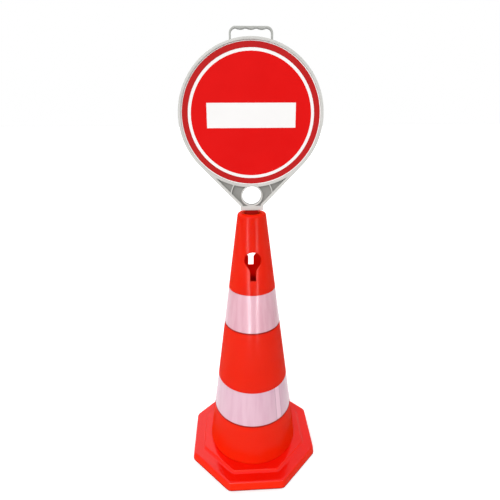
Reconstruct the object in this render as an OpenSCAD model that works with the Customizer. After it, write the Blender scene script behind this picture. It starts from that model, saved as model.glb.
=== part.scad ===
// Traffic cone on an eight-sided base, with a round sign that plugs into its mouth.
// Millimetres, +Z up, origin on the ground on the cone's axis. The sign's front faces -Y.

/* [Cone] */
// Height of the lip above the ground
cone_h = 750; // [700:1:800]
// How far the cone's slope, drawn down to the ground, stays inside the base's flats
cone_inset_w = 49; // [46:0.5:53]
// Outside diameter where the cone's slope reaches the lip's height
cone_top_d = 77; // [74:0.5:84]
// Wall of the cone, measured level
cone_wall = 4; // [3:0.1:5]
// Diameter of the mouth
mouth_d = 46; // [44:0.5:49]
// Thickness of the lip round the mouth
lip_t = 5.5; // [4:0.1:8]
// Radius of the lip's outer edge
lip_round = 7.5; // [3:0.1:8.6]
// Width of the flange at the cone's foot
flange_w = 11; // [8:0.1:13]
// Thickness of that flange
flange_t = 4; // [3:0.1:4.8]

/* [Reflective bands] */
// Drop from the lip to the upper band's upper edge
upper_band_drop = 217; // [200:1:250]
// Width of the upper band
upper_band_w = 107; // [80:1:125]
// Height of the lower band's lower edge
lower_band_z = 150; // [110:1:180]
// Width of the lower band
lower_band_w = 100; // [70:1:130]
// Thickness of the sheeting
band_t = 0.6; // [0.4:0.05:0.7]
// Depth of the seat that the sheeting lies in
band_seat = 0.8; // [0.7:0.05:1.2]

/* [Keyholes] */
// Diameter of the round part
key_d = 45.5; // [36:0.5:48]
// Drop from the lip to the round part's centre
key_drop = 120.5; // [114:0.5:130]
// Width of the slot below the round part
key_slot_w = 15.5; // [10:0.5:20]
// Drop from the round part's centre to the slot's foot
key_slot_drop = 56.5; // [46:0.5:68]
// Drop from the round part's centre to the end of the throat
key_throat_drop = 28.5; // [27:0.5:34]

/* [Base] */
// Width of the base across its flats
base_w = 367; // [358:1:390]
// How far the base's side leans in on its way up
base_lean_w = 2.5; // [1:0.1:4]
// Height of the base's outer edge
base_edge_h = 27; // [25.5:0.1:27.8]
// Height of the deck at the plinth's foot
deck_h = 28; // [27.2:0.1:29]
// Width of the plinth's shelf round the cone
plinth_shelf_w = 19; // [16:0.1:20]
// How far the plinth's side slopes outwards on its way down
plinth_slope_w = 3.6; // [2.8:0.1:6]
// Height of the plinth
plinth_h = 33.5; // [32:0.1:36]
// Radius of the base's upright corners
base_corner_r = 20; // [14:0.5:28]
// Radius of the plinth's upright corners
plinth_corner_r = 15; // [10:0.5:22]
// Radius of the base's top edge
base_edge_r = 5; // [1.5:0.1:6]
// Radius of the plinth's top edge
plinth_edge_r = 2.6; // [1:0.1:3.4]
// Wall of the base
base_wall = 4; // [3:0.1:4.6]

/* [Ballast and feet] */
// Diameter of a screw's shank
screw_d = 5; // [4:0.1:6]
// Length of a screw's shank
screw_len = 24; // [22:0.5:25]
// Diameter of a screw's head
screw_head_d = 10; // [8:0.1:11.5]
// Height of a screw's head
screw_head_h = 2.5; // [1.5:0.1:3]
// Diameter of a washer
washer_d = 16; // [12:0.1:18]
// Thickness of a washer
washer_t = 1.2; // [0.8:0.1:1.6]
// Diameter of a foot
foot_d = 26; // [18:0.5:30]
// Thickness of a foot
foot_h = 6; // [4.5:0.1:7]
// How far the feet stand below the base
foot_proud = 2; // [1.4:0.1:2.6]

/* [Swivel] */
// Length of the socket under the lip
socket_len = 80; // [74:1:84]
// Wall of the socket's tube
socket_wall = 3.5; // [2.5:0.1:5]
// Thickness of the socket's ribs
socket_rib_t = 3.5; // [2.5:0.1:5]
// Number of the socket's ribs
socket_ribs = 6; // [4:1:8]
// Thickness of the ledge that carries the bush
ledge_t = 4; // [3:0.1:6]
// Width of that ledge
ledge_w = 3.2; // [2.5:0.1:3.6]
// Length of the bush's round part
bush_len = 62; // [54:1:66]
// Wall of the bush's stem round the tongue
stem_wall = 3; // [2:0.1:3.6]
// Section of the grip ring
grip_d = 2.6; // [2:0.1:3]

/* [Sign frame] */
// Outside diameter of the round frame
sign_d = 369; // [340:1:395]
// Height of the frame's centre above the cone's lip
sign_rise = 255.5; // [244:0.5:270]
// Width of the rim, seen from the front
rim_w = 7; // [4:0.1:9]
// Depth of the frame from front to back
frame_depth = 18; // [16:0.5:18.5]
// Thickness of the web inside the rim
web_t = 3.5; // [2.5:0.1:5]
// Width of the neck's foot
neck_w = 60; // [54:0.5:62.5]
// Height of the neck's foot above the cone's lip
neck_lift = 8; // [7:0.5:15]
// Height of the neck's upright foot
neck_foot_h = 11.5; // [4:0.5:12]
// Diameter of the hole in the neck
neck_hole_d = 51; // [44:0.5:54]
// Height of that hole's centre above the lip
neck_hole_rise = 47.5; // [46:0.5:54]
// Width of the lip round that hole
hole_lip_w = 3.5; // [2.5:0.1:5]
// Radius of the curved ribs above that hole
arc_rib_r = 55.5; // [50:0.5:64]
// Width of the curved ribs
arc_rib_w = 2.8; // [2:0.1:4.5]
// Width of the tongue that goes into the bush
tongue_w = 28; // [24:0.5:30]
// Thickness of the tongue
tongue_t = 10; // [8:0.1:11]
// Length of the tongue
tongue_len = 86; // [80:1:94]

/* [Carry handle] */
// Outside width of the handle
handle_w = 107; // [98:1:120]
// Rise of the handle's top above the frame's rim
handle_rise = 23; // [20:0.5:40]
// Thickness of the grip bar
handle_bar = 5; // [4.4:0.1:8]
// Thickness of the legs
handle_leg = 4.6; // [4.4:0.1:7]
// Radius of the handle's outer corners
handle_corner_r = 16; // [8:0.5:18]
// Depth of the handle from front to back
handle_depth = 12; // [10:0.5:18]
// Distance between the finger bumps
finger_pitch = 26; // [22:0.5:28]
// Drop of a finger bump below the bar
finger_drop = 2.4; // [1.2:0.1:3.4]
// Radius of a finger bump
finger_r = 24; // [16:0.5:28]
// Depth of the sockets that hold the legs
tenon_len = 4.5; // [3:0.1:5]

/* [Sign face] */
// Thickness of the board
board_t = 3; // [2:0.1:4]
// Thickness of the white sheet
sheet_t = 0.5; // [0.3:0.05:0.7]
// Thickness of the red film
film_t = 0.4; // [0.25:0.05:0.6]
// Width of the white margin at the board's edge
margin_w = 2.4; // [1.4:0.1:5]
// Width of the red border outside the white ring
border_w = 14.6; // [10:0.1:22]
// Width of the white ring
ring_w = 7.8; // [5:0.1:13]
// Length of the white bar
bar_len = 226; // [160:1:260]
// Height of the white bar
bar_h = 62; // [34:1:76]

/* [Hidden] */
$fn = 96;

// Colours
cone_red = [0.98, 0.2, 0.07];
sign_red = [0.89, 0.11, 0.1];
border_red = [0.76, 0.15, 0.15];
sheet_white = [0.97, 0.96, 0.95];
band_white = [0.92, 0.8, 0.82];
frame_grey = [0.78, 0.78, 0.78];
board_grey = [0.9, 0.9, 0.88];
rubber_black = [0.09, 0.09, 0.09];
plug_red = [0.75, 0.1, 0.05];
steel = [0.62, 0.63, 0.65];

// Sides of the base, each with a foot, and with a screw at its corner
side_count = 8;

// Overrun of every cut, and the clearances of the fits
overrun = 1;
seat_gap = 0.1;
moulding_gap = 0.2;
turning_gap = 0.3;
thread_gap = 0.05;
ring_gap = 0.15;

// Steps in an arc that is drawn by its points
edge_steps = 4;
corner_steps = 6;

// Levels in the base, from the ground up
deck_under = base_edge_h - base_wall;
flange_top = plinth_h - base_wall;
flange_z = flange_top - flange_t;
washer_seat = foot_proud + moulding_gap + screw_head_h + washer_t;

// Slope of the cone, what lies on it, and the flange at its foot
cone_foot_d = base_w - 2 * cone_inset_w;
cone_slope = (cone_foot_d - cone_top_d) / 2 / cone_h;
cone_lean = atan(cone_slope);
upper_band_z = cone_h - upper_band_drop - upper_band_w;
key_z = cone_h - key_drop;
flange_r = outer_r(flange_top) + flange_w;

// Plinth, across its flats, and its sharp corner's reach
plinth_w = 2 * (outer_r(plinth_h) + plinth_shelf_w);
plinth_foot_w = plinth_w + 2 * plinth_slope_w;
plinth_reach = plinth_w / 2 / cos(180 / side_count);

// Deck, the pocket under it, the ballast in that, and the circles of its feet and screws
deck_w = base_w - 2 * base_lean_w;
deck_corner_r = base_corner_r - base_lean_w;
pocket_w = deck_w - 2 * base_wall;
pocket_corner_r = deck_corner_r - base_wall;
ballast_w = pocket_w - 2 * moulding_gap;
ballast_bore_r = inner_r(flange_z);
foot_ring_r = (ballast_bore_r + ballast_w / 2) / 2;
screw_ring_r = (flange_r + plinth_reach) / 2;

// Lip of the cone
lip_under = cone_h - lip_t;
lip_centre_z = cone_h - lip_round;
lip_centre_r = outer_r(lip_centre_z) - lip_round / cos(cone_lean);

// Swivel
socket_foot = lip_under - socket_len;
ledge_top = socket_foot + ledge_t;
bush_r = mouth_d / 2 - turning_gap;
grip_r = mouth_d / 2 - ring_gap - grip_d / 2;
grip_z = ledge_top + bush_len / 2;
slot_w = tongue_w + 2 * turning_gap;
slot_t = tongue_t + 2 * turning_gap;
stem_h = cone_h + neck_lift - ledge_top;

// Sign: a point here is across the sign and up from the lip
sign_r = sign_d / 2;
rim_in_r = sign_r - rim_w;
sign_centre = [0, sign_rise];
hole_centre = [0, neck_hole_rise];
neck_corner = [neck_w / 2, neck_lift + neck_foot_h];
neck_reach = norm(sign_centre - neck_corner);
neck_run = sqrt(neck_reach * neck_reach - sign_r * sign_r);
neck_lean = atan2(sign_rise - neck_corner[1], -neck_w / 2) - asin(sign_r / neck_reach);
neck_way = direction(neck_lean);
neck_in = direction(neck_lean + 90);
neck_touch = neck_corner + neck_run * neck_way;
tongue_tip = tongue_t / 4;
tongue_foot = neck_lift - tongue_len;
tongue_root = neck_lift + neck_foot_h / 2;

// Handle
handle_top = sign_rise + sign_r + handle_rise;
leg_x = handle_w / 2 - handle_leg / 2;
leg_foot = sign_rise + sqrt(sign_r * sign_r - leg_x * leg_x);
bar_under = handle_top - handle_bar;
tenon_w = handle_leg / 2;
tenon_depth = handle_depth / 2;
tenon_end = leg_foot - tenon_len;
handle_foot_r = sign_r + seat_gap;
leg_flare = handle_leg / 2;

// Face
board_r = rim_in_r - moulding_gap;
film_r = board_r - margin_w;
ring_r = film_r - border_w;
field_r = ring_r - ring_w;
board_y = web_t / 2;
sheet_y = board_y + board_t;
film_y = sheet_y + sheet_t;

// A direction in a plane, by its angle
function direction(a) = [cos(a), sin(a)];

// Points of an arc round c
function arc(c, r, from, to, steps) =
    [for (i = [0:steps]) c + r * direction(from + (to - from) * i / steps)];

// Radius of the cone's outside at a height
function outer_r(z) = cone_foot_d / 2 - cone_slope * z;

// Radius of the cone's inside at a height
function inner_r(z) = outer_r(z) - cone_wall;

// Outline of the seat for a band, upwards
function seat_outline(z, w) = [
    [outer_r(z), z],
    [outer_r(z) - band_seat, z],
    [outer_r(z + w) - band_seat, z + w],
    [outer_r(z + w), z + w]
];

// Eight-sided outline with round corners
function octagon(w, r) = [
    for (k = [0:side_count - 1])
    let (half = 180 / side_count, a = half + 2 * half * k, reach = (w / 2 - r) / cos(half))
    each arc(reach * direction(a), r, a - half, a + half, corner_steps)
];

// Levels of the base's outside, each with its width, height and corner radius
base_levels = [
    [base_w, foot_proud, base_corner_r],
    for (p = arc([0, 0], base_edge_r, 0, 90, edge_steps))
        let (inset = base_edge_r - p[0])
        [deck_w - 2 * inset, base_edge_h - base_edge_r + p[1], deck_corner_r - inset],
    [plinth_foot_w, deck_h, plinth_corner_r + plinth_slope_w],
    for (p = arc([0, 0], plinth_edge_r, 0, 90, edge_steps))
        let (inset = plinth_edge_r - p[0])
        [plinth_w - 2 * inset, plinth_h - plinth_edge_r + p[1], plinth_corner_r - inset]
];

// Solid skinned over eight-sided levels
module octagon_stack(levels) {
    rings = [for (level = levels) octagon(level[0], level[2])];
    count = len(rings[0]);
    last = len(levels) - 1;
    polyhedron(
        points = [for (j = [0:last]) for (p = rings[j]) [p[0], p[1], levels[j][1]]],
        faces = [
            [for (i = [0:count - 1]) i],
            [for (i = [count - 1:-1:0]) last * count + i],
            for (j = [0:last - 1]) for (i = [0:count - 1])
                let (next = (i + 1) % count)
                [j * count + i, (j + 1) * count + i, (j + 1) * count + next, j * count + next]
        ]
    );
}

// Copies children round the axis, one to each side of the base
module per_side(r, turn = 0) {
    for (k = [0:side_count - 1])
        rotate([0, 0, turn + 360 / side_count * k]) translate([r, 0, 0]) children();
}

// One to each corner of the base
module per_corner(r) {
    per_side(r, 180 / side_count) children();
}

// Stands a flat shape up in the sign's plane, centred on its depth
module upright(depth) {
    translate([0, depth / 2, cone_h]) rotate([90, 0, 0]) linear_extrude(depth) children();
}

// Stands a flat shape up as a layer of the front face, from y back from the middle plane
module face_layer(y, t) {
    translate([0, -y, cone_h + sign_rise]) rotate([90, 0, 0]) linear_extrude(t) children();
}

// Keyhole, centred on its round part. The throat's sides run on into the round part, up to
// where they pass closest to its centre
module keyhole_outline() {
    corner = [key_slot_w / 2, -key_throat_drop];
    way = key_d / 2 * direction(-45) - corner;
    start = corner - (corner * way) / (way * way) * way;
    circle(d = key_d);
    polygon([
        [-start[0], start[1]], [-corner[0], corner[1]], [-corner[0], -key_slot_drop],
        [corner[0], -key_slot_drop], corner, start
    ]);
}

module cone_shell() {
    cut_len = cone_foot_d;
    color(cone_red)
    difference() {
        rotate_extrude() polygon(concat(
            [
                [inner_r(flange_z), flange_z],
                [flange_r, flange_z],
                [flange_r, flange_top],
                [outer_r(flange_top), flange_top]
            ],
            seat_outline(lower_band_z, lower_band_w),
            seat_outline(upper_band_z, upper_band_w),
            arc([lip_centre_r, lip_centre_z], lip_round, cone_lean, 90, corner_steps),
            [[mouth_d / 2, cone_h], [mouth_d / 2, lip_under], [inner_r(lip_under), lip_under]]
        ));
        translate([0, cut_len / 2, key_z]) rotate([90, 0, 0]) linear_extrude(cut_len) keyhole_outline();
    }
}

module base_skirt() {
    pilot_end = washer_seat - washer_t + screw_len + moulding_gap;
    color(cone_red)
    difference() {
        octagon_stack(base_levels);
        translate([0, 0, -overrun]) linear_extrude(deck_under + overrun)
            polygon(octagon(pocket_w, pocket_corner_r));
        cylinder(r = flange_r + moulding_gap, h = flange_top);
        translate([0, 0, flange_top - overrun]) cylinder(
            r1 = outer_r(flange_top - overrun) + moulding_gap,
            r2 = outer_r(plinth_h + overrun) + moulding_gap,
            h = plinth_h - flange_top + 2 * overrun
        );
        per_corner(screw_ring_r) cylinder(d = screw_d + 2 * thread_gap, h = pilot_end);
    }
}

module ballast_ring() {
    color(rubber_black)
    difference() {
        translate([0, 0, foot_proud]) {
            linear_extrude(deck_under - foot_proud) polygon(octagon(ballast_w, pocket_corner_r));
            cylinder(r = flange_r, h = flange_z - foot_proud);
        }
        cylinder(r = ballast_bore_r, h = flange_z + overrun);
        per_side(foot_ring_r) cylinder(d = foot_d + 2 * seat_gap, h = foot_h);
        per_corner(screw_ring_r) {
            cylinder(d = washer_d + 2 * moulding_gap, h = washer_seat);
            cylinder(d = screw_d + 2 * moulding_gap, h = flange_z + overrun);
        }
    }
}

module ballast_screws() {
    head_top = washer_seat - washer_t;
    driver_w = screw_d / 4;
    driver_depth = screw_head_h / 2;
    color(steel)
    per_corner(screw_ring_r) translate([0, 0, head_top - screw_head_h]) difference() {
        union() {
            cylinder(d = screw_head_d, h = screw_head_h);
            cylinder(d = screw_d, h = screw_head_h + screw_len);
        }
        for (turn = [0, 90])
            rotate([0, 0, turn]) translate([-screw_d / 2, -driver_w / 2, -overrun])
                cube([screw_d, driver_w, driver_depth + overrun]);
    }
}

module screw_washers() {
    color(steel)
    per_corner(screw_ring_r) translate([0, 0, washer_seat - washer_t]) difference() {
        cylinder(d = washer_d, h = washer_t);
        translate([0, 0, -overrun]) cylinder(d = screw_d + 2 * moulding_gap, h = washer_t + 2 * overrun);
    }
}

module rubber_feet() {
    edge = foot_proud / 2;
    color(rubber_black)
    per_side(foot_ring_r) {
        cylinder(d1 = foot_d - 2 * edge, d2 = foot_d, h = edge);
        translate([0, 0, edge]) cylinder(d = foot_d, h = foot_h - edge);
    }
}

// Sleeve of sheeting in its seat
module band(z, w) {
    foot = z + seat_gap;
    top = z + w - seat_gap;
    inset = band_seat - seat_gap;
    color(band_white)
    rotate_extrude() polygon([
        [outer_r(foot) - inset, foot],
        [outer_r(foot) - inset + band_t, foot],
        [outer_r(top) - inset + band_t, top],
        [outer_r(top) - inset, top]
    ]);
}

module upper_band() {
    band(upper_band_z, upper_band_w);
}

module lower_band() {
    band(lower_band_z, lower_band_w);
}

module mouth_socket() {
    tube_r = mouth_d / 2 + socket_wall;
    middle_r = mouth_d / 2 + socket_wall / 2;
    color(plug_red) {
        rotate_extrude() polygon([
            [mouth_d / 2 - ledge_w, socket_foot],
            [tube_r, socket_foot],
            [tube_r, lip_under],
            [mouth_d / 2, lip_under],
            [mouth_d / 2, ledge_top],
            [mouth_d / 2 - ledge_w, ledge_top]
        ]);
        for (k = [0:socket_ribs - 1])
            rotate([90, 0, 360 / socket_ribs * k]) translate([0, 0, -socket_rib_t / 2])
                linear_extrude(socket_rib_t) polygon([
                    [middle_r, socket_foot],
                    [inner_r(socket_foot) - seat_gap, socket_foot],
                    [inner_r(lip_under) - seat_gap, lip_under],
                    [middle_r, lip_under]
                ]);
    }
}

// Stem of the bush, with its corners round the slot's
module stem_outline() {
    for (x = [-1, 1]) for (y = [-1, 1])
        translate([x * slot_w / 2, y * slot_t / 2]) circle(r = stem_wall);
    square([slot_w + 2 * stem_wall, slot_t], center = true);
    square([slot_w, slot_t + 2 * stem_wall], center = true);
}

module swivel_bush() {
    groove_r = grip_r - grip_d / 2 - ring_gap;
    color(plug_red)
    difference() {
        translate([0, 0, ledge_top]) {
            cylinder(r = bush_r, h = bush_len);
            linear_extrude(stem_h) stem_outline();
        }
        translate([-slot_w / 2, -slot_t / 2, ledge_top - overrun])
            cube([slot_w, slot_t, stem_h + 2 * overrun]);
        translate([0, 0, grip_z]) rotate_extrude()
            translate([groove_r, -grip_d / 2 - ring_gap]) square([grip_d + overrun, grip_d + 2 * ring_gap]);
    }
}

module grip_ring() {
    color(rubber_black)
    translate([0, 0, grip_z]) rotate_extrude() translate([grip_r, 0]) circle(d = grip_d);
}

// Neck of the sign, from its foot to where its edges touch the round rim
module neck_outline() {
    polygon([
        [-neck_corner[0], neck_lift], [neck_corner[0], neck_lift], neck_corner, neck_touch,
        [-neck_touch[0], neck_touch[1]], [-neck_corner[0], neck_corner[1]]
    ]);
}

// Outline of the whole frame
module frame_outline() {
    translate(sign_centre) circle(r = sign_r);
    neck_outline();
}

// What stands at the frame's full depth: rim, neck edges, hole lip, curved ribs and foot
module frame_walls() {
    difference() {
        translate(sign_centre) circle(r = sign_r);
        translate(sign_centre) circle(r = rim_in_r);
    }
    for (side = [0, 1]) mirror([side, 0]) polygon([
        neck_corner, neck_touch, neck_touch + rim_w * neck_in,
        neck_corner + rim_w * neck_in, [neck_corner[0] - rim_w, neck_lift], [neck_corner[0], neck_lift]
    ]);
    translate(hole_centre) circle(d = neck_hole_d + 2 * hole_lip_w);
    intersection() {
        difference() {
            neck_outline();
            translate(sign_centre) circle(r = rim_in_r);
        }
        difference() {
            translate(hole_centre) circle(r = arc_rib_r + arc_rib_w / 2);
            translate(hole_centre) circle(r = arc_rib_r - arc_rib_w / 2);
        }
    }
    translate([-neck_w / 2, neck_lift]) square([neck_w, neck_foot_h]);
}

// Sockets for the handle's legs, a gap wider than the tenons
module tenon_outline(gap) {
    for (side = [-1, 1])
        translate([side * leg_x - tenon_w / 2 - gap, tenon_end])
            square([tenon_w + 2 * gap, tenon_len + handle_leg]);
}

module sign_frame() {
    color(frame_grey)
    difference() {
        union() {
            upright(web_t) frame_outline();
            upright(frame_depth) frame_walls();
            upright(tongue_t) polygon([
                [-tongue_w / 2, tongue_foot + tongue_tip], [tongue_tip - tongue_w / 2, tongue_foot],
                [tongue_w / 2 - tongue_tip, tongue_foot], [tongue_w / 2, tongue_foot + tongue_tip],
                [tongue_w / 2, tongue_root], [-tongue_w / 2, tongue_root]
            ]);
        }
        upright(frame_depth + 2 * overrun) translate(hole_centre) circle(d = neck_hole_d);
        upright(tenon_depth + 2 * seat_gap) tenon_outline(seat_gap);
    }
}

// Block with round upper corners that stands on the rim
module handle_block(w, top, r) {
    foot = leg_foot - handle_leg;
    for (side = [-1, 1]) translate([side * (w / 2 - r), top - r]) circle(r = r);
    translate([-w / 2, foot]) square([w, top - r - foot]);
    translate([r - w / 2, foot]) square([w - 2 * r, top - foot]);
}

module carry_handle() {
    color(frame_grey) {
        upright(handle_depth) difference() {
            union() {
                difference() {
                    handle_block(handle_w, handle_top, handle_corner_r);
                    handle_block(handle_w - 2 * handle_leg, bar_under, handle_corner_r - handle_leg);
                }
                intersection() {
                    translate([-handle_w / 2, bar_under - finger_drop])
                        square([handle_w, finger_drop + handle_bar / 2]);
                    for (k = [-1:1])
                        translate([k * finger_pitch, bar_under - finger_drop + finger_r]) circle(r = finger_r);
                }
                for (side = [0, 1]) mirror([side, 0]) polygon([
                    [leg_x, leg_foot + handle_leg],
                    [handle_w / 2 + leg_flare, leg_foot - handle_leg / 2],
                    [leg_x, leg_foot - handle_leg]
                ]);
            }
            translate(sign_centre) circle(r = handle_foot_r);
        }
        upright(tenon_depth) tenon_outline(0);
    }
}

// Copies a layer of the front face to the back
module at_rear() {
    mirror([0, 1, 0]) children();
}

module board() {
    color(board_grey) face_layer(board_y, board_t) circle(r = board_r);
}

module white_sheet() {
    color(sheet_white) face_layer(sheet_y, sheet_t) circle(r = board_r);
}

module border_film() {
    color(border_red) face_layer(film_y, film_t) difference() {
        circle(r = film_r);
        circle(r = ring_r);
    }
}

module field_film() {
    color(sign_red) face_layer(film_y, film_t) difference() {
        circle(r = field_r);
        square([bar_len, bar_h], center = true);
    }
}

module front_board() {
    board();
}

module front_white_sheet() {
    white_sheet();
}

module front_border_film() {
    border_film();
}

module front_field_film() {
    field_film();
}

module rear_board() {
    at_rear() board();
}

module rear_white_sheet() {
    at_rear() white_sheet();
}

module rear_border_film() {
    at_rear() border_film();
}

module rear_field_film() {
    at_rear() field_film();
}

cone_shell();
base_skirt();
ballast_ring();
ballast_screws();
screw_washers();
rubber_feet();
upper_band();
lower_band();
mouth_socket();
swivel_bush();
grip_ring();
sign_frame();
carry_handle();
front_board();
front_white_sheet();
front_border_film();
front_field_film();
rear_board();
rear_white_sheet();
rear_border_film();
rear_field_film();
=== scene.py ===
"""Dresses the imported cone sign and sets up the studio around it.

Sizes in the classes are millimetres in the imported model's frame: +Z up along the cone's axis, the sign's
front towards -Y. Every mesh is written in metres with its place in its vertices.
"""
import logging
import math
from dataclasses import dataclass
from enum import Enum
from typing import Any, Sequence

import bmesh
import bpy
from mathutils import Matrix, Vector


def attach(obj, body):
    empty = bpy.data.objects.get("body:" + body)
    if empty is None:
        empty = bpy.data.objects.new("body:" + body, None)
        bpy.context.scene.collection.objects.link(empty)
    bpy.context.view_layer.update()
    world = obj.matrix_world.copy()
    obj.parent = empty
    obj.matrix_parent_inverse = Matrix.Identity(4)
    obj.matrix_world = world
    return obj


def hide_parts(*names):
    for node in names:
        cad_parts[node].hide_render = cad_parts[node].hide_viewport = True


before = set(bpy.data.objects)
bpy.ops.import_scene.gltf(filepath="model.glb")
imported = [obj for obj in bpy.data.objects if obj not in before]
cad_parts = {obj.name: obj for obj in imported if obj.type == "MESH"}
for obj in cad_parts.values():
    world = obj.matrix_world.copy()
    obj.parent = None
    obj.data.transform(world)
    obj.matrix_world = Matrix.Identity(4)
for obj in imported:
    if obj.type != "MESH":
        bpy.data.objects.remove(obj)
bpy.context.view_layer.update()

LOG = logging.getLogger("cone_sign")
MM = 0.001
FULL_TURN = 2 * math.pi
WELD = 1e-6  # metres within which points are one
CREASE = 38.0  # degrees between faces that meet in a crease
SHARP = 40.0  # degrees between faces whose edge is rounded
FLAT = 0.6  # degrees between faces that count as one flat face
SAME_WAY = 0.999  # cosine above which two directions count as one
OVERRUN = 1.0  # millimetres by which a cut starts outside the piece

Point = tuple[float, float]
Span = tuple[float, float]
Place = tuple[float, float, float]
Colour = tuple[float, float, float]
Level = tuple[float, float, float]  # width, corner radius and height of a ring of corners
Piece = bpy.types.Object
Material = bpy.types.Material
Socket = bpy.types.NodeSocket


class Body(Enum):
    """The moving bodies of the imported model."""

    CONE = "cone"
    TURNTABLE = "turntable"
    SIGN = "sign"


class Side(Enum):
    """The two faces of the sign."""

    FRONT = "front"
    REAR = "rear"


class Way(Enum):
    """What two pieces do to each other."""

    CUT = "DIFFERENCE"
    JOIN = "UNION"


class Slot(Enum):
    """The record's material slots of the pieces made here."""

    CONE = "cone_plastic"
    BASE = "base_plastic"
    BALLAST = "ballast_rubber"
    FOOT = "foot_rubber"
    STEEL = "fastener_steel"
    BAND = "band_sheeting"
    PLUG = "plug_plastic"
    FRAME = "frame_plastic"


# Outlines and plain meshes


def arc(centre: Point, radius: float, start: float, end: float, steps: int) -> list[Point]:
    """Walks along an arc.

    Args:
        centre: Centre of the arc.
        radius: Its radius.
        start: Angle of the first point, in degrees.
        end: Angle of the last point, in degrees.
        steps: Number of stretches between the points.

    Returns:
        The points, with both ends.
    """
    turns = [math.radians(start + (end - start) * i / steps) for i in range(steps + 1)]
    return [(centre[0] + radius * math.cos(a), centre[1] + radius * math.sin(a)) for a in turns]


def from_front(angle: float, reach: float, height: float) -> Vector:
    """Returns a point by its angle from the front, in degrees, its reach from the axis and its height."""
    turn = math.radians(angle)
    return Vector((reach * math.sin(turn), -reach * math.cos(turn), height))


def link(name: str, data: bpy.types.ID) -> Piece:
    """Puts a mesh, a lamp or a camera into the scene as an object at the origin.

    Args:
        name: Name of the object.
        data: What it shows.

    Returns:
        The new object.
    """
    piece = bpy.data.objects.new(name, data)
    bpy.context.scene.collection.objects.link(piece)
    return piece


def turn_outwards(mesh: bpy.types.Mesh) -> None:
    """Welds a mesh's doubles and points its faces outwards.

    Args:
        mesh: The mesh, which is changed.
    """
    bm = bmesh.new()
    bm.from_mesh(mesh)
    bmesh.ops.remove_doubles(bm, verts=bm.verts, dist=WELD)
    bmesh.ops.recalc_face_normals(bm, faces=bm.faces)
    bm.to_mesh(mesh)
    bm.free()


def from_points(
    name: str, points: Sequence[Sequence[float]], faces: Sequence[Sequence[int]]
) -> Piece:
    """Makes a closed piece with its faces turned outwards.

    Args:
        name: Name of the piece.
        points: Corners, in millimetres.
        faces: Corner numbers of each face; with none, the piece is a row of loose points.

    Returns:
        The new piece.
    """
    mesh = bpy.data.meshes.new(name)
    mesh.from_pydata([Vector(p) * MM for p in points], [], faces)
    if faces:
        turn_outwards(mesh)
    return link(name, mesh)


def belt(low: int, high: int, count: int) -> list[tuple[int, ...]]:
    """Lists the faces between two rings, by the number of each ring's first corner."""
    return [(low + i, low + (i + 1) % count, high + (i + 1) % count, high + i) for i in range(count)]


def prism(name: str, points: Sequence[Sequence[float]]) -> Piece:
    """Makes a closed prism.

    Args:
        name: Name of the piece.
        points: Corners of one end and then those of the other, in millimetres.

    Returns:
        The new piece.
    """
    count = len(points) // 2
    ends = [range(count), range(2 * count - 1, count - 1, -1)]
    return from_points(name, points, [*belt(0, count, count), *ends])


def soften_shading(piece: Piece, crease: float = CREASE) -> None:
    """Shades a piece smooth between its creases.

    Args:
        piece: The piece.
        crease: Faces that meet at more than this angle, in degrees, keep their edge.
    """
    mesh = piece.data
    mesh.polygons.foreach_set("use_smooth", [True] * len(mesh.polygons))
    mesh.set_sharp_from_angle(angle=math.radians(crease))


def bake_modifiers(piece: Piece) -> None:
    """Turns a piece with live modifiers into a plain mesh.

    Args:
        piece: The piece, which gets a new mesh.
    """
    graph = bpy.context.evaluated_depsgraph_get()
    mesh = bpy.data.meshes.new_from_object(piece.evaluated_get(graph))
    piece.modifiers.clear()
    old, piece.data = piece.data, mesh
    bpy.data.meshes.remove(old)
    mesh.name = piece.name


def work(piece: Piece, other: Piece, way: Way) -> None:
    """Cuts a piece with another or joins the two, and welds what that leaves.

    Args:
        piece: The piece, which gets a new mesh.
        other: The other piece, which is used up.
        way: What happens to the two.
    """
    modifier = piece.modifiers.new(way.name, "BOOLEAN")
    modifier.operation, modifier.solver, modifier.object = way.value, "EXACT", other
    bake_modifiers(piece)
    turn_outwards(piece.data)
    bpy.data.meshes.remove(other.data)


def round_edges(piece: Piece, width: float, steps: int) -> None:
    """Rounds a piece's sharp edges.

    Args:
        piece: The piece, which gets a new mesh.
        width: Width of the rounding, in millimetres.
        steps: Faces across the rounding.
    """
    bevel = piece.modifiers.new("round", "BEVEL")
    bevel.width, bevel.segments = width * MM, steps
    bevel.limit_method, bevel.angle_limit = "ANGLE", math.radians(SHARP)
    bevel.use_clamp_overlap = False
    bevel.miter_outer = "MITER_ARC"
    bake_modifiers(piece)


def copy_of_node(node: str, name: str) -> Piece:
    """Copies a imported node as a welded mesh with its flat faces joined.

    Args:
        node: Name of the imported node.
        name: Name of the copy.

    Returns:
        The copy, at the origin.
    """
    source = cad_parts[node].data
    mesh = bpy.data.meshes.new(name)
    faces = [p.vertices[:] for p in source.polygons]
    mesh.from_pydata([v.co[:] for v in source.vertices], [], faces)
    bm = bmesh.new()
    bm.from_mesh(mesh)
    bmesh.ops.remove_doubles(bm, verts=bm.verts, dist=WELD)
    bmesh.ops.dissolve_limit(bm, angle_limit=math.radians(FLAT), verts=bm.verts, edges=bm.edges)
    bm.to_mesh(mesh)
    bm.free()
    return link(name, mesh)


# Geometry Nodes


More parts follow.
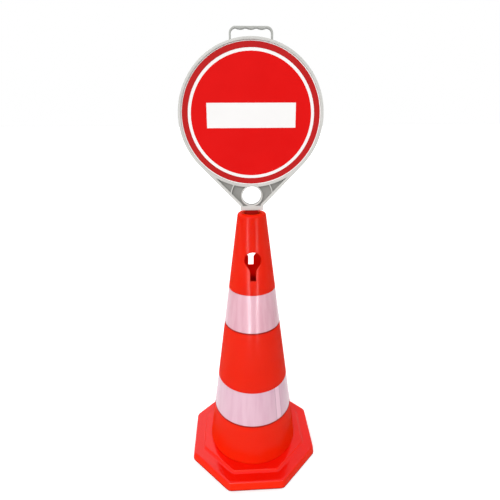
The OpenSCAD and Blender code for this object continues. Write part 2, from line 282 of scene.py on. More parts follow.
class NodeTree:
    """Short calls for building a node tree of either kind."""

    tree: bpy.types.NodeTree

    def add(self, kind: str, inputs: dict[Any, Any] | None = None, **settings: Any) -> bpy.types.Node:
        """Adds a node.

        Args:
            kind: The node's type.
            inputs: Values or sockets for its inputs, by name or number.
            settings: The node's own settings.

        Returns:
            The node.
        """
        node = self.tree.nodes.new(kind)
        for key, value in settings.items():
            setattr(node, key, value)
        for key, value in (inputs or {}).items():
            self.feed(node.inputs[key], value)
        return node

    def feed(self, target: Socket, value: Any) -> None:
        """Sets an input.

        Args:
            target: The input.
            value: Its value, or a socket to join to it.
        """
        if isinstance(value, bpy.types.NodeSocket):
            self.tree.links.new(value, target)
        else:
            target.default_value = value

    def maths(self, operation: str, *terms: Any) -> Socket:
        """Adds a Math node and returns its result."""
        return self.add("ShaderNodeMath", dict(enumerate(terms)), operation=operation).outputs[0]


class ShapeTree(NodeTree):
    """A Geometry Nodes tree that works on a piece's own mesh, with named sizes as inputs."""

    def __init__(self, name: str, whole: Sequence[str], lengths: Sequence[str]) -> None:
        """Starts the tree with its inputs.

        Args:
            name: Name of the tree.
            whole: Names of the inputs that are whole numbers.
            lengths: Names of the inputs that are lengths or angles.
        """
        self.tree = bpy.data.node_groups.new(name, "GeometryNodeTree")
        face = self.tree.interface
        face.new_socket("Geometry", in_out="INPUT", socket_type="NodeSocketGeometry")
        face.new_socket("Geometry", in_out="OUTPUT", socket_type="NodeSocketGeometry")
        for key in whole:
            face.new_socket(key, in_out="INPUT", socket_type="NodeSocketInt")
        for key in lengths:
            face.new_socket(key, in_out="INPUT", socket_type="NodeSocketFloat")
        self.inputs = self.add("NodeGroupInput").outputs
        self.set_material = self.add("GeometryNodeSetMaterial")

    def close(self, geometry: Socket) -> None:
        """Ends the tree in real geometry with one material.

        Args:
            geometry: What the tree has made.
        """
        real = self.add("GeometryNodeRealizeInstances", {"Geometry": geometry})
        self.feed(self.set_material.inputs["Geometry"], real.outputs["Geometry"])
        self.add("NodeGroupOutput", {"Geometry": self.set_material.outputs["Geometry"]})

    def run(self, piece: Piece, material: Material, **sizes: float) -> None:
        """Runs the tree on a piece and keeps the result as its plain mesh, with its faces outwards.

        Args:
            piece: The piece whose mesh goes in.
            material: Material of the result.
            sizes: Value of each named input.
        """
        self.set_material.inputs["Material"].default_value = material
        modifier = piece.modifiers.new(self.tree.name, "NODES")
        modifier.node_group = self.tree
        for item in self.tree.interface.items_tree:
            if item.name in sizes:
                modifier[item.identifier] = sizes[item.name]
        bake_modifiers(piece)
        turn_outwards(piece.data)


class LatheTree(ShapeTree):
    """Turns a row of points in the XZ plane about the Z axis."""

    def __init__(self) -> None:
        """Builds a grid with one row for each point and bends it round the axis."""
        super().__init__("turned_on_the_axis", ["Segments"], [])
        profile, segments = self.inputs["Geometry"], self.inputs["Segments"]
        size = self.add("GeometryNodeAttributeDomainSize", {"Geometry": profile})
        rows = size.outputs["Point Count"]
        columns = self.maths("ADD", segments, 1)
        grid = self.add("GeometryNodeMeshGrid", {"Vertices X": columns, "Vertices Y": rows})
        index = self.add("GeometryNodeInputIndex").outputs[0]
        row = self.maths("MODULO", index, rows)
        column = self.maths("FLOOR", self.maths("DIVIDE", index, rows))
        angle = self.maths("MULTIPLY", self.maths("DIVIDE", column, segments), FULL_TURN)
        sample = self.add(
            "GeometryNodeSampleIndex", {"Geometry": profile, "Index": row},
            data_type="FLOAT_VECTOR", domain="POINT",
        )
        self.feed(sample.inputs["Value"], self.add("GeometryNodeInputPosition").outputs[0])
        place = self.add(
            "ShaderNodeVectorRotate", {"Vector": sample.outputs[0], "Angle": angle},
            rotation_type="Z_AXIS",
        )
        bent = self.add(
            "GeometryNodeSetPosition",
            {"Geometry": grid.outputs["Mesh"], "Position": place.outputs[0]},
        )
        merged = self.add(
            "GeometryNodeMergeByDistance", {"Geometry": bent.outputs[0], "Distance": WELD}
        )
        self.close(merged.outputs[0])


class RingTree(ShapeTree):
    """Sets copies of a piece on a circle round the Z axis, each turned to face outwards."""

    def __init__(self) -> None:
        """Puts an instance of the piece on each corner of a circle."""
        super().__init__("set_in_a_ring", ["Count"], ["Radius", "Turn"])
        count = self.inputs["Count"]
        circle = self.add(
            "GeometryNodeMeshCircle", {"Vertices": count, "Radius": self.inputs["Radius"]}
        )
        step = self.maths("DIVIDE", FULL_TURN, count)
        facing = self.maths("MULTIPLY", self.add("GeometryNodeInputIndex").outputs[0], step)
        copies = self.add(
            "GeometryNodeInstanceOnPoints",
            {
                "Points": circle.outputs["Mesh"],
                "Instance": self.inputs["Geometry"],
                "Rotation": self.add("ShaderNodeCombineXYZ", {"Z": facing}).outputs[0],
            },
        )
        turn = self.add("ShaderNodeCombineXYZ", {"Z": self.inputs["Turn"]}).outputs[0]
        whole = self.add("GeometryNodeTransform", {"Geometry": copies.outputs[0], "Rotation": turn})
        self.close(whole.outputs[0])


LATHE = LatheTree()
RING = RingTree()


def turned(name: str, profile: Sequence[Point], material: Material, segments: int) -> Piece:
    """Turns a closed outline of radius and height on the axis.

    Args:
        name: Name of the piece.
        profile: Radius and height of each corner, in millimetres; the last joins the first, unless
            the outline starts and ends on the axis.
        material: The piece's material.
        segments: Stretches round the axis.

    Returns:
        The new piece.
    """
    rows = profile if profile[0][0] == 0 else [*profile, profile[0]]
    piece = from_points(name, [(r, 0, z) for r, z in rows], [])
    LATHE.run(piece, material, Segments=segments)
    soften_shading(piece)
    return piece


# Finishes


@dataclass(frozen=True)
class Mottle:
    """Noise cut into patches: cycles a metre, detail, the noise's span and its scale along Z."""

    scale: float
    detail: float
    span: Span
    along_z: float = 1.0


@dataclass(frozen=True)
class Relief:
    """Noise as bumps: cycles a metre, detail, depth in millimetres, strength and its scale along Z."""

    scale: float
    detail: float
    depth: float
    strength: float
    along_z: float = 1.0


class Shading(NodeTree):
    """A material's tree: a Principled shader fed from Object coordinates."""

    def __init__(self, name: str) -> None:
        """Starts a material.

        Args:
            name: Name of the material.
        """
        self.material = bpy.data.materials.new(name)
        self.material.use_nodes = True
        self.tree = self.material.node_tree
        self.shader = self.tree.nodes["Principled BSDF"]
        self.place = self.add("ShaderNodeTexCoord").outputs["Object"]

    def noise(self, kind: Mottle | Relief) -> Socket:
        """Adds plain noise.

        Args:
            kind: The noise's scale, detail and stretch.

        Returns:
            The noise, from 0 to 1.
        """
        stretch = (1.0, 1.0, kind.along_z)
        spread = self.add("ShaderNodeMapping", {"Vector": self.place, "Scale": stretch}).outputs[0]
        inputs = {"Vector": spread, "Scale": kind.scale, "Detail": kind.detail}
        return self.add("ShaderNodeTexNoise", inputs).outputs[0]

    def between(self, value: Any, low: float, high: float, to_low: Any, to_high: Any) -> Socket:
        """Maps a value from one span to another, smoothly and within its ends.

        Args:
            value: The value.
            low: Start of its span.
            high: End of its span.
            to_low: Start of the new span.
            to_high: End of the new span.

        Returns:
            The mapped value.
        """
        node = self.add("ShaderNodeMapRange", {"Value": value}, interpolation_type="SMOOTHSTEP")
        ends = {"From Min": low, "From Max": high, "To Min": to_low, "To Max": to_high}
        for key, end in ends.items():
            self.feed(node.inputs[key], end)
        return node.outputs[0]

    def mottle(self, kind: Mottle, to_low: float, to_high: float) -> Socket:
        """Adds patches whose value runs between two ends."""
        return self.between(self.noise(kind), *kind.span, to_low, to_high)

    def mix(self, share: Any, a: Any, b: Any) -> Socket:
        """Mixes two colours.

        Args:
            share: Share of the second.
            a: The first colour.
            b: The second colour.

        Returns:
            The mixed colour.
        """
        node = self.add("ShaderNodeMix", data_type="RGBA")
        for key, value in ((0, share), (6, a), (7, b)):
            self.feed(node.inputs[key], (*value, 1) if isinstance(value, tuple) else value)
        return node.outputs[2]

    def bump(self, height: Socket, depth: float, strength: float) -> None:
        """Adds relief on top of what is there.

        Args:
            height: The relief's height, from 0 to 1.
            depth: Its depth, in millimetres.
            strength: How much of it shows.
        """
        inputs = {"Height": height, "Distance": depth * MM, "Strength": strength}
        node = self.add("ShaderNodeBump", inputs)
        target = self.shader.inputs["Normal"]
        if target.is_linked:
            self.feed(node.inputs["Normal"], target.links[0].from_socket)
        self.feed(target, node.outputs[0])

    def relief(self, kind: Relief) -> None:
        """Adds bumps of noise."""
        self.bump(self.noise(kind), kind.depth, kind.strength)

    def set(self, **values: Any) -> None:
        """Sets the shader's inputs, by their names with _ for a space."""
        for key, value in values.items():
            self.feed(self.shader.inputs[key.replace("_", " ")], value)

    def split(self) -> tuple[Socket, Socket, Socket]:
        """Returns the three coordinates."""
        return tuple(self.add("ShaderNodeSeparateXYZ", {0: self.place}).outputs)


def linear(red: int, green: int, blue: int) -> Colour:
    """Turns a colour as a screen shows it into the linear one that a shader takes.

    Args:
        red: Red, from 0 to 255.
        green: Green.
        blue: Blue.

    Returns:
        The linear colour.
    """
    def one(value: int) -> float:
        """Turns one channel, by the sRGB curve."""
        share = value / 255
        return share / 12.92 if share <= 0.04045 else ((share + 0.055) / 1.055) ** 2.4

    return one(red), one(green), one(blue)


def faded(colour: Colour, factor: float, lift: float = 0.0) -> Colour:
    """Scales a colour and lifts it, up to full white."""
    return tuple(min(1.0, factor * c + lift) for c in colour)


@dataclass(frozen=True)
class CellNet:
    """The slanted net of cells in reflective sheeting.

    A cell's width and the depth of the lines are millimetres. The slant is how far a line moves sideways
    for each step up, and the soft edge is a share of the cell.
    """

    cell: float
    cover: float
    fade: float
    depth: float
    strength: float
    slant: float = 0.7
    soft: float = 0.12

    def lay(self, shade: Shading, across: Socket, up: Socket, colour: Socket, line: Colour) -> Socket:
        """Lays the net over a colour and raises its lines.

        Args:
            shade: The material's tree.
            across: Coordinate along the sheet, in metres.
            up: Coordinate up the sheet, in metres.
            colour: The colour under the net.
            line: The colour that the lines are a shade of.

        Returns:
            The colour with the net on it.
        """
        lines = []
        for way in ("ADD", "SUBTRACT"):
            slant = shade.maths(way, across, shade.maths("MULTIPLY", up, self.slant))
            fold = shade.maths("PINGPONG", slant, self.cell * MM / 2)
            lines.append(shade.between(fold, 0.0, self.cell * MM * self.soft, 1.0, 0.0))
        net = shade.maths("MAXIMUM", *lines)
        shade.bump(net, self.depth, self.strength)
        return shade.mix(shade.maths("MULTIPLY", net, self.cover), colour, faded(line, self.fade))


@dataclass(frozen=True)
class MouldedPlastic:
    """Moulded plastic: a little uneven in colour, with flow lines and a fine skin.

    Light soaks through a thin wall by the depth of the glow. Upright sides may have a gloss of their own,
    and a lighter, more orange colour that paints light on them against painted shade on the level faces. A
    recess gets a darker colour that is painted shade. Scuffs lie near the ground, painted contact shade
    darkens the lowest few millimetres, and painted shadow lines lie just under the bands' lower edges.
    """

    name: str
    colour: Colour
    deep: Colour
    uneven: float = 0.6
    flow: float = 0.35
    roughness: float = 0.3
    rough_spread: Span = (-0.05, 0.08)
    specular: float = 0.16
    gloss: float = 0.0
    gloss_roughness: float = 0.2
    gloss_ior: float = 1.5
    glow: float = 0.0
    glow_depth: float = 5.0
    glow_reach: Colour = (1.0, 0.12, 0.06)
    # side: a lighter colour on upright faces, painted light against the shaded level faces
    side: Colour | None = None
    side_gloss: float = 0.15
    side_span: Span = (0.35, 0.9)
    # recess: a darker colour that is painted shade in a recess
    recess: Colour | None = None
    recess_shade_y: float = 3.0
    scuffs: float = 0.0
    scuff_top: float = 60.0
    scuff_fade: Span = (0.72, 0.1)
    scuff_rough: float = 0.3
    # Painted contact shade: darker towards the ground
    ground_shade_top: float = 0.0
    ground_shade_share: float = 0.8
    ground_shade_fade: Span = (0.12, 0.004)
    # Heights of painted shadow lines just under the bands' lower edges
    band_shadow_heights: tuple[float, ...] = ()
    band_shadow_w: float = 5.2
    band_shadow_share: float = 0.95
    band_shadow_fade: float = 0.22
    clouds: Mottle = Mottle(7.0, 4.0, (0.35, 0.68))
    flow_lines: Mottle = Mottle(42.0, 3.0, (0.42, 0.7), 0.05)
    polish: Mottle = Mottle(60.0, 5.0, (0.3, 0.75))
    scuff_marks: Mottle = Mottle(95.0, 6.0, (0.56, 0.7), 0.35)
    skin: Relief = Relief(520.0, 2.0, 0.05, 0.2)
    waves: Relief = Relief(18.0, 2.0, 0.4, 0.1, 0.25)

    def make(self) -> Material:
        """Builds the material.

        Returns:
            The material.
        """
        shade = Shading(self.name)
        _, y, z = shade.split()
        clouds = shade.mottle(self.clouds, 0.0, 1.0)
        lines = shade.mottle(self.flow_lines, 0.0, self.flow)
        mixed = shade.maths("MULTIPLY", shade.maths("ADD", clouds, lines), self.uneven)
        colour = shade.mix(mixed, self.colour, self.deep)
        rough = shade.mottle(self.polish, *(self.roughness + s for s in self.rough_spread))
        gloss: Any = self.gloss
        # Painted light and shade: upright faces take a lighter, more orange colour and level faces keep
        # the darker one, for how the light falls on them; the gloss that changes with them is real
        if self.side:
            facing = shade.add("ShaderNodeTexCoord").outputs["Normal"]
            rise = shade.add("ShaderNodeSeparateXYZ", {0: facing}).outputs[2]
            upright = shade.between(shade.maths("ABSOLUTE", rise), *self.side_span, 1.0, 0.0)
            colour = shade.mix(upright, colour, self.side)
            gloss = shade.between(upright, 0.0, 1.0, self.gloss, self.side_gloss)
        if self.scuffs:
            low = shade.between(z, 0.0, self.scuff_top * MM, self.scuffs, 0.0)
            worn = shade.maths("MULTIPLY", low, shade.mottle(self.scuff_marks, 0.0, 1.0))
            colour = shade.mix(worn, colour, faded(self.colour, *self.scuff_fade))
            rough = shade.maths("ADD", rough, shade.maths("MULTIPLY", worn, self.scuff_rough))
        # Painted shade: a darker colour close to the middle plane in Y, for the shade in the web's recess
        if self.recess:
            off, edge = shade.maths("ABSOLUTE", y), self.recess_shade_y * MM
            colour = shade.mix(shade.between(off, edge, 2 * edge, 1.0, 0.0), colour, self.recess)
        # Painted contact shade: darker towards the ground, where the base meets the floor
        if self.ground_shade_top:
            edge = self.ground_shade_top * MM
            low = shade.between(z, edge, 2 * edge, self.ground_shade_share, 0.0)
            colour = shade.mix(low, colour, faded(self.deep, *self.ground_shade_fade))
        # Painted shadow: a darker line at each height given, just under a band's lower edge
        for shadow_z in self.band_shadow_heights:
            off = shade.maths("ABSOLUTE", shade.maths("SUBTRACT", shadow_z * MM, z))
            band_shadow_mask = shade.between(off, 0.0, self.band_shadow_w * MM, self.band_shadow_share, 0.0)
            colour = shade.mix(band_shadow_mask, colour, faded(self.deep, self.band_shadow_fade))
        if self.glow:
            shade.set(Subsurface_Weight=self.glow, Subsurface_Scale=self.glow_depth * MM)
            shade.set(Subsurface_Radius=self.glow_reach)
        shade.set(Base_Color=colour, Roughness=rough, Specular_IOR_Level=self.specular)
        if self.gloss:
            shade.set(Coat_Weight=gloss, Coat_Roughness=self.gloss_roughness, Coat_IOR=self.gloss_ior)
        shade.relief(self.skin)
        shade.relief(self.waves)
        return shade.material


@dataclass(frozen=True)
class BandSheeting:
    """Reflective sheeting wrapped round the cone: lengthwise streaks, a net of fine cells and a lap.

    The lap's ends are shares of its half width.
    """

    name: str
    colour: Colour
    streak: Colour
    radius: float
    lap_angle: float
    lap_width: float = 18.0
    lap: float = 0.75
    lap_fade: Span = (1.12, 0.04)
    lap_soft: float = 0.75
    lap_edge: float = 0.55
    lap_edge_fade: float = 0.6
    lap_edge_ends: tuple[float, float, float] = (0.9, 1.05, 1.2)
    streakiness: float = 0.5
    breadth: float = 0.55
    roughness: Span = (0.17, 0.25)
    specular: float = 0.45
    net: CellNet = CellNet(4.5, 0.16, 0.8, 0.05, 0.3)
    fine_streaks: Mottle = Mottle(75.0, 4.0, (0.36, 0.66), 0.035)
    broad_streaks: Mottle = Mottle(13.0, 2.0, (0.38, 0.64), 0.12)
    ripples: Relief = Relief(70.0, 3.0, 0.3, 0.12, 0.06)

    def make(self) -> Material:
        """Builds the material.

        Returns:
            The material.
        """
        shade = Shading(self.name)
        x, y, z = shade.split()
        turn = shade.maths("ARCTAN2", y, x)
        streaks = shade.mottle(self.fine_streaks, 0.0, 1.0)
        broad = shade.mottle(self.broad_streaks, 0.0, self.breadth)
        mixed = shade.maths("MULTIPLY", shade.maths("ADD", streaks, broad), self.streakiness)
        colour = shade.mix(mixed, self.colour, self.streak)
        across = shade.maths("MULTIPLY", turn, self.radius * MM)
        colour = self.net.lay(shade, across, z, colour, self.streak)
        off = shade.maths("ABSOLUTE", shade.maths("SUBTRACT", turn, math.radians(self.lap_angle)))
        half = self.lap_width / self.radius / 2
        lap = shade.between(off, half * self.lap_soft, half, self.lap, 0.0)
        start, middle, end = (half * place for place in self.lap_edge_ends)
        rising = shade.between(off, start, middle, 0.0, 1.0)
        falling = shade.between(off, middle, end, self.lap_edge, 0.0)
        edge = shade.maths("MULTIPLY", rising, falling)
        colour = shade.mix(lap, colour, faded(self.colour, *self.lap_fade))
        colour = shade.mix(edge, colour, faded(self.streak, self.lap_edge_fade))
        rough = shade.between(streaks, 0.0, 1.0, *self.roughness)
        shade.set(Base_Color=colour, Roughness=rough, Specular_IOR_Level=self.specular)
        shade.relief(self.ripples)
        return shade.material


@dataclass(frozen=True)
class FaceSheeting:
    """Flat sheeting or film of the sign's face: even, with a faint net of cells and slight ripples."""

    name: str
    colour: Colour
    deep: Colour
    uneven: float = 0.7
    roughness: Span = (0.33, 0.45)
    specular: float = 0.03
    net: CellNet = CellNet(4.0, 0.12, 0.82, 0.03, 0.25)
    clouds: Mottle = Mottle(9.0, 3.0, (0.38, 0.66))
    polish: Mottle = Mottle(35.0, 4.0, (0.3, 0.7))
    ripples: Relief = Relief(11.0, 2.0, 0.5, 0.1)

    def make(self) -> Material:
        """Builds the material.

        Returns:
            The material.
        """
        shade = Shading(self.name)
        x, _, z = shade.split()
        colour = shade.mix(shade.mottle(self.clouds, 0.0, self.uneven), self.colour, self.deep)
        colour = self.net.lay(shade, x, z, colour, self.deep)
        rough = shade.mottle(self.polish, *self.roughness)
        shade.set(Base_Color=colour, Roughness=rough, Specular_IOR_Level=self.specular)
        shade.relief(self.ripples)
        return shade.material


@dataclass(frozen=True)
class Rubber:
    """Matt rubber with grains of another colour pressed into it."""

    name: str
    colour: Colour
    grain: Colour
    grain_size: float = 2.5
    grain_share: float = 0.2
    grain_edge: float = 0.04
    grain_cover: float = 0.8
    grain_depth: float = 0.25
    grain_strength: float = 0.5
    roughness: Span = (0.72, 0.92)
    specular: float = 0.3
    polish: Mottle = Mottle(300.0, 4.0, (0.3, 0.7))

    def make(self) -> Material:
        """Builds the material.

        Returns:
            The material.
        """
        shade = Shading(self.name)
        inputs = {"Vector": shade.place, "Scale": 1 / (self.grain_size * MM)}
        cells = shade.add("ShaderNodeTexVoronoi", inputs).outputs
        pick = shade.add("ShaderNodeSeparateColor", {0: cells["Color"]}).outputs[0]
        start = 1 - self.grain_share
        chosen = shade.between(pick, start, start + self.grain_edge, 0.0, self.grain_cover)
        rough = shade.mottle(self.polish, *self.roughness)
        shade.set(Base_Color=shade.mix(chosen, self.colour, self.grain), Roughness=rough)
        shade.set(Specular_IOR_Level=self.specular)
        shade.bump(cells["Distance"], self.grain_depth, self.grain_strength)
        return shade.material


@dataclass(frozen=True)
class PlatedSteel:
    """Zinc-plated steel with a cloudy plating."""

    name: str
    colour: Colour
    deep: Colour
    roughness: Span = (0.26, 0.44)
    clouds: Mottle = Mottle(260.0, 4.0, (0.35, 0.68))
    polish: Mottle = Mottle(420.0, 3.0, (0.3, 0.7))
    skin: Relief = Relief(900.0, 2.0, 0.02, 0.3)

    def make(self) -> Material:
        """Builds the material.

        Returns:
            The material.
        """
        shade = Shading(self.name)
        colour = shade.mix(shade.mottle(self.clouds, 0.0, 1.0), self.colour, self.deep)
        rough = shade.mottle(self.polish, *self.roughness)
        shade.set(Base_Color=colour, Metallic=1.0, Roughness=rough)
        shade.relief(self.skin)
        return shade.material


class Finishes:
    """Every material of the object, made once."""

    def __init__(self) -> None:
        """Makes the materials."""
        # cone_red: the darker lines at 149 and 425 mm are painted shadow under the bands' lower edges
        self.cone = MouldedPlastic(
            "cone_red", (0.98, 0.014, 0.002), (0.95, 0.011, 0.001), specular=0.0, gloss=0.07,
            gloss_roughness=0.17, gloss_ior=2.0, glow=1.0, glow_depth=13.0, band_shadow_heights=(149.0, 425.0),
        ).make()
        # base_red: the darker lowest few millimetres are painted contact shade
        # base_red: the side colour paints light on the upright walls against painted shade on the decks
        self.base = MouldedPlastic(
            "base_red", (0.8, 0.006, 0.001), (0.76, 0.004, 0.001), specular=0.0, gloss=0.6,
            gloss_roughness=0.16, side=(0.86, 0.018, 0.001), scuffs=0.06, ground_shade_top=3.5,
        ).make()
        # Red plastic, darkened as painted shade for the inside of the cone's mouth
        self.plug = MouldedPlastic(
            "plug_red", (0.3, 0.003, 0.001), (0.27, 0.002, 0.001), roughness=0.5, specular=0.04
        ).make()
        # frame_grey: the recess colour is painted shade in the web's recess
        self.grey = MouldedPlastic(
            "frame_grey", linear(201, 200, 196), linear(192, 191, 187), flow=0.2, roughness=0.46,
            recess=linear(136, 135, 131),
        ).make()
        self.handle = MouldedPlastic(
            "handle_grey", linear(178, 179, 175), linear(168, 169, 165), flow=0.2, roughness=0.46
        ).make()
        self.board = MouldedPlastic(
            "board_white", (0.78, 0.78, 0.76), (0.7, 0.7, 0.68), roughness=0.5
        ).make()
        self.upper_band = BandSheeting(
            "upper_band_sheeting", linear(221, 173, 186), linear(207, 149, 164), 73.0, 120.0
        ).make()
        self.lower_band = BandSheeting(
            "lower_band_sheeting", linear(218, 180, 195), linear(205, 160, 179), 109.0, -50.0
        ).make()
        self.white = FaceSheeting("white_sheeting", (0.86, 0.85, 0.84), (0.84, 0.83, 0.82)).make()
        self.border = FaceSheeting("border_red", linear(184, 34, 34), linear(178, 30, 30)).make()
        self.field = FaceSheeting("field_red", linear(218, 18, 17), linear(214, 16, 15)).make()
        self.ballast = Rubber("ballast_grain", (0.022, 0.022, 0.023), (0.09, 0.085, 0.08)).make()
        self.foot = Rubber(
            "foot_rubber", (0.035, 0.035, 0.036), (0.05, 0.05, 0.05), 1.2, 0.3
        ).make()
        self.grip = Rubber(
            "grip_rubber", (0.025, 0.025, 0.026), (0.035, 0.035, 0.035), 0.8, 0.3
        ).make()
        self.steel = PlatedSteel("zinc_plate", (0.62, 0.63, 0.65), (0.5, 0.51, 0.54)).make()


# Sub-assemblies


@dataclass
class SubAssembly:
    """What every sub-assembly does with its pieces, in the object's finishes."""

    finishes: Finishes

    def build(self) -> None:
        """Builds, dresses and seats the pieces."""
        raise NotImplementedError

    def dress(self, piece: Piece, material: Material) -> None:
        """Gives a piece its one material."""
        piece.data.materials.clear()
        piece.data.materials.append(material)

    def dress_node(self, node: str, material: Material) -> None:
        """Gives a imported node, which keeps its mesh, its material."""
        self.dress(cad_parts[node], material)
        LOG.info("%s dressed", node)

    def seat(self, piece: Piece, body: Body, slot: Slot, node: str) -> None:
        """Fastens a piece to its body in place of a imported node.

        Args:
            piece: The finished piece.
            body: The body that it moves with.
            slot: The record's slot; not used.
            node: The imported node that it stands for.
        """
        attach(piece, body.value)
        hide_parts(node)
        LOG.info("%s stands for %s: %d faces", piece.name, node, len(piece.data.polygons))

    def refine(
        self, node: str, name: str, material: Material, edge_r: float, steps: int = 2
    ) -> Piece:
        """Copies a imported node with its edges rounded.

        Args:
            node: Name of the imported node.
            name: Name of the copy.
            material: Its material.
            edge_r: Width of the rounding.
            steps: Faces across the rounding.

        Returns:
            The dressed copy.
        """
        piece = copy_of_node(node, name)
        round_edges(piece, edge_r, steps)
        self.dress(piece, material)
        soften_shading(piece)
        return piece


@dataclass
class ConeBody(SubAssembly):
    """The hollow cone with its lip, keyholes, band seats and foot flange, and the two bands."""

    height: float = 750.0
    foot_r: float = 134.5
    top_r: float = 38.5
    wall: float = 4.0
    mouth_r: float = 23.0
    mouth_edge_r: float = 1.5
    lip_t: float = 5.5
    lip_round: float = 7.5
    flange_z: float = 25.5
    flange_t: float = 4.0
    flange_w: float = 11.0
    band_seat: float = 0.8
    band_t: float = 0.6
    seat_gap: float = 0.1
    upper_band: Span = (426.0, 533.0)
    lower_band: Span = (150.0, 250.0)
    key_z: float = 629.5
    key_r: float = 22.75
    key_slot_w: float = 15.5
    key_slot_drop: float = 56.5
    key_throat_drop: float = 28.5
    key_throat_angle: float = -45.0
    key_corner_r: float = 1.0
    segments: int = 256
    key_steps: int = 20
    lip_steps: int = 8
    edge_steps: int = 4

    @property
    def slope(self) -> float:
        """How much the radius shrinks for each step up."""
        return (self.foot_r - self.top_r) / self.height

    def outer_r(self, z: float) -> float:
        """Radius of the outside at a height."""
        return self.foot_r - self.slope * z

    def seat_outline(self, band: Span) -> list[Point]:
        """Outlines the shallow seat that a band lies in.

        Args:
            band: Heights of the band's edges.

        Returns:
            The seat's corners, upwards.
        """
        low, high = band
        r_low, r_high, depth = self.outer_r(low), self.outer_r(high), self.band_seat
        return [(r_low, low), (r_low - depth, low), (r_high - depth, high), (r_high, high)]

    def shell_outline(self) -> list[Point]:
        """Outlines the shell.

        Returns:
            Its corners, from inside the foot up the outside and round the lip.
        """
        lean = math.degrees(math.atan(self.slope))
        flange_top = self.flange_z + self.flange_t
        flange_r = self.outer_r(flange_top) + self.flange_w
        lip_z = self.height - self.lip_round
        lip_r = self.outer_r(lip_z) - self.lip_round / math.cos(math.radians(lean))
        edge, under = self.mouth_edge_r, self.height - self.lip_t
        mouth = (self.mouth_r + edge, self.height - edge)
        return [
            (self.outer_r(self.flange_z) - self.wall, self.flange_z),
            (flange_r, self.flange_z),
            (flange_r, flange_top),
            (self.outer_r(flange_top), flange_top),
            *self.seat_outline(self.lower_band),
            *self.seat_outline(self.upper_band),
            *arc((lip_r, lip_z), self.lip_round, lean, 90, self.lip_steps),
            *arc(mouth, edge, 90, 180, self.edge_steps),
            (self.mouth_r, under),
            (self.outer_r(under) - self.wall, under),
        ]

    def keyhole_outline(self) -> list[Point]:
        """Outlines a keyhole with its corners eased.

        Returns:
            Its corners, across and up from the round part's centre.
        """
        half, ease = self.key_slot_w / 2, self.key_corner_r
        right = [
            *arc((0, 0), self.key_r, 90, self.key_throat_angle, self.key_steps),
            (half, -self.key_throat_drop),
            *arc((half - ease, ease - self.key_slot_drop), ease, 0, -90, self.edge_steps),
        ]
        return right + [(-x, z) for x, z in reversed(right[1:])]

    def true_normal(self, place: Vector) -> Vector:
        """Returns the normal of a true cone at a place."""
        return Vector((*place.xy.normalized(), self.slope)).normalized()

    def smooth_slopes(self, shell: Piece) -> None:
        """Gives the slopes the normals of a true cone, so that the keyholes leave no dents.

        Args:
            shell: The shell, whose corner normals are set.
        """
        mesh = shell.data
        normals = [c.vector.copy() for c in mesh.corner_normals]
        for face in mesh.polygons:
            turn = face.normal.dot(self.true_normal(face.center))
            if abs(turn) < SAME_WAY:
                continue
            for loop in face.loop_indices:
                corner = mesh.vertices[mesh.loops[loop].vertex_index].co
                normals[loop] = math.copysign(1, turn) * self.true_normal(corner)
        mesh.normals_split_custom_set(normals)

    def build_shell(self) -> Piece:
        """Turns the shell and cuts both keyholes through it.

        Returns:
            The dressed shell.
        """
        finish = self.finishes.cone
        shell = turned("cone_moulding", self.shell_outline(), finish, self.segments)
        ends, outline = (-self.foot_r, self.foot_r), self.keyhole_outline()
        cutter = prism("keyhole", [(x, y, self.key_z + z) for y in ends for x, z in outline])
        work(shell, cutter, Way.CUT)
        self.dress(shell, finish)
        soften_shading(shell)
        self.smooth_slopes(shell)
        return shell

    def build_band(self, name: str, band: Span, material: Material) -> Piece:
        """Wraps a sleeve of sheeting into its seat, with its edges eased.

        Args:
            name: Name of the sleeve.
            band: Heights of the seat's edges.
            material: The sheeting.

        Returns:
            The sleeve.
        """
        low, high = band[0] + self.seat_gap, band[1] - self.seat_gap
        inset, ease = self.band_seat - self.seat_gap, self.band_t / 3
        inner_low, inner_high = self.outer_r(low) - inset, self.outer_r(high) - inset
        outline = [
            (inner_low, low),
            (inner_low + self.band_t - ease, low),
            (self.outer_r(low + ease) - inset + self.band_t, low + ease),
            (self.outer_r(high - ease) - inset + self.band_t, high - ease),
            (inner_high + self.band_t - ease, high),
            (inner_high, high),
        ]
        return turned(name, outline, material, self.segments)

    def build(self) -> None:
        """Builds, dresses and seats the cone and its bands."""
        self.seat(self.build_shell(), Body.CONE, Slot.CONE, "cone_shell")
        upper = self.build_band("upper_band_sleeve", self.upper_band, self.finishes.upper_band)
        self.seat(upper, Body.CONE, Slot.BAND, "upper_band")
        lower = self.build_band("lower_band_sleeve", self.lower_band, self.finishes.lower_band)
        self.seat(lower, Body.CONE, Slot.BAND, "lower_band")


